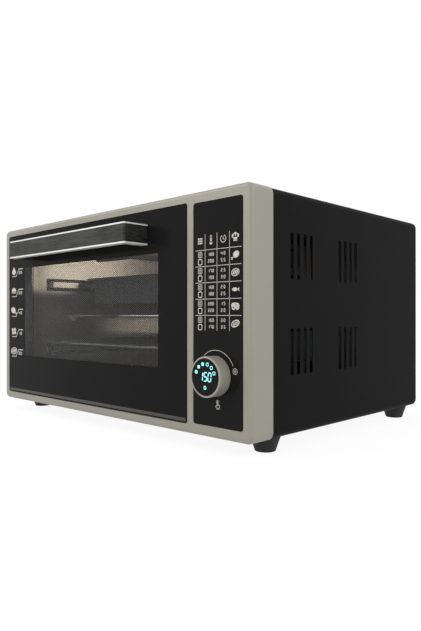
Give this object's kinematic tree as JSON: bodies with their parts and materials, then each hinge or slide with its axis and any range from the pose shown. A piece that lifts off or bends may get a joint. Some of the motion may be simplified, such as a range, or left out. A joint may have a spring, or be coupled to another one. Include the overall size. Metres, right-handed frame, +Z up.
{
  "type": "toaster oven",
  "caption": "Countertop oven box with a drop-down glass door, bar handle, glossy side panel, ring dial around a push display, tray, wire rack and turning spit.",
  "frame": {"origin": "table level under the middle of the outline, handle and cord gland included", "axes": "+X to the right as seen from the front, +Y to the rear (the door faces -Y), +Z up"},
  "size_m": [0.588, 0.4706, 0.3212],
  "materials": {
    "champagne_paint": "satin champagne grey paint",
    "black_wrap": "fine satin black paint",
    "black_plastic": "matte black moulding",
    "door_glass": "toughened glass with a black printed border",
    "clear_glass": "clear toughened glass",
    "panel_glass": "glossy black facing with a pale print",
    "cavity_steel": "coated steel sheet",
    "galvanised_steel": "galvanised steel sheet",
    "steel_hardware": "plain steel",
    "handle_metal": "dark brushed aluminium",
    "bright_trim": "bright plated strip",
    "strip_metal": "dark grey painted extrusion",
    "heater_sheath": "annealed steel sheath",
    "ceramic": "off-white ceramic",
    "dark_ceramic": "dark glazed ceramic",
    "bracket_black": "matte black painted steel sheet",
    "tray_enamel": "dark enamel",
    "rack_chrome": "plated wire",
    "board_laminate": "near-black circuit laminate",
    "relay_case": "black relay case",
    "foot_rubber": "black rubber",
    "cable_jacket": "grey ribbon",
    "knob_metal": "satin champagne anodised ring"
  },
  "bodies": {
    "cabinet": {"base_plate": "galvanised_steel", "bezel": "champagne_paint", "bezel_screws": "steel_hardware", "board_bracket": "bracket_black", "cavity_back_wall": "cavity_steel", "cavity_ceiling": "cavity_steel", "cavity_floor": "cavity_steel", "cavity_left_wall": "cavity_steel", "cavity_right_wall": "cavity_steel", "cavity_supports": "bracket_black", "chassis_front_plate": "galvanised_steel", "control_board": "board_laminate", "control_panel": "panel_glass", "cord_gland": "black_plastic", "dial_hub": "black_plastic", "door_springs": "steel_hardware", "foot_front_left": "foot_rubber", "foot_front_right": "foot_rubber", "foot_rear_left": "foot_rubber", "foot_rear_right": "foot_rubber", "foot_screws": "steel_hardware", "heater_bushings": "ceramic", "hinge_brackets": "galvanised_steel", "hinge_pins": "steel_hardware", "knob_retainer": "steel_hardware", "lamp_bulb": "clear_glass", "lamp_holder": "dark_ceramic", "lamp_lens": "clear_glass", "lower_heaters": "heater_sheath", "outer_wrap": "black_wrap", "panel_carrier": "black_plastic", "power_board": "board_laminate", "rear_cover": "black_wrap", "rear_cover_screws": "steel_hardware", "relays": "relay_case", "ribbon_cable": "cable_jacket", "spit_cradle": "steel_hardware", "spit_motor": "black_plastic", "tact_switch": "black_plastic", "temperature_probe": "steel_hardware", "thermal_cutout": "ceramic", "upper_heaters": "heater_sheath"},
    "door": {"door_outer_glass": "door_glass", "door_carrier": "galvanised_steel", "door_inner_glass": "clear_glass", "inner_glass_clips": "steel_hardware", "door_lower_rail": "strip_metal", "handle_bar": "handle_metal", "handle_trim_top": "bright_trim", "handle_trim_bottom": "bright_trim", "handle_screws": "steel_hardware", "door_stays": "steel_hardware"},
    "dial_ring": {"knob_ring": "knob_metal"},
    "display": {"display_button": "black_plastic", "display_board": "board_laminate", "display_lens": "panel_glass"},
    "spit": {"spit_rod": "rack_chrome", "spit_drive_socket": "steel_hardware"},
    "tray": {"baking_tray": "tray_enamel"},
    "rack": {"wire_rack": "rack_chrome"}
  },
  "joints": [
    {"name": "door_hinge", "type": "hinge", "parent": "cabinet", "child": "door", "pos_m": [-0.04657, -0.1916, 0.0352], "axis": [1, 0, 0], "range_deg": [0, 85], "stiffness_Nm_per_rad": 1.7, "springref_deg": -17.19, "deforming": ["door_springs"]},
    {"name": "knob_turn", "type": "hinge", "parent": "cabinet", "child": "dial_ring", "pos_m": [0.23658, -0.2049, 0.0946], "axis": [0, 1, 0], "continuous": true},
    {"name": "display_press", "type": "slide", "parent": "cabinet", "child": "display", "axis": [0, 1, 0], "range_m": [0, 0.0012], "stiffness_N_per_m": 600},
    {"name": "spit_turn", "type": "hinge", "parent": "cabinet", "child": "spit", "pos_m": [-0.04657, -0.0877, 0.167], "axis": [1, 0, 0], "continuous": true},
    {"name": "tray_slide", "type": "slide", "parent": "cabinet", "child": "tray", "axis": [0, -1, 0], "range_m": [0, 0.09]},
    {"name": "rack_slide", "type": "slide", "parent": "cabinet", "child": "rack", "axis": [0, -1, 0], "range_m": [0, 0.01]}
  ]
}
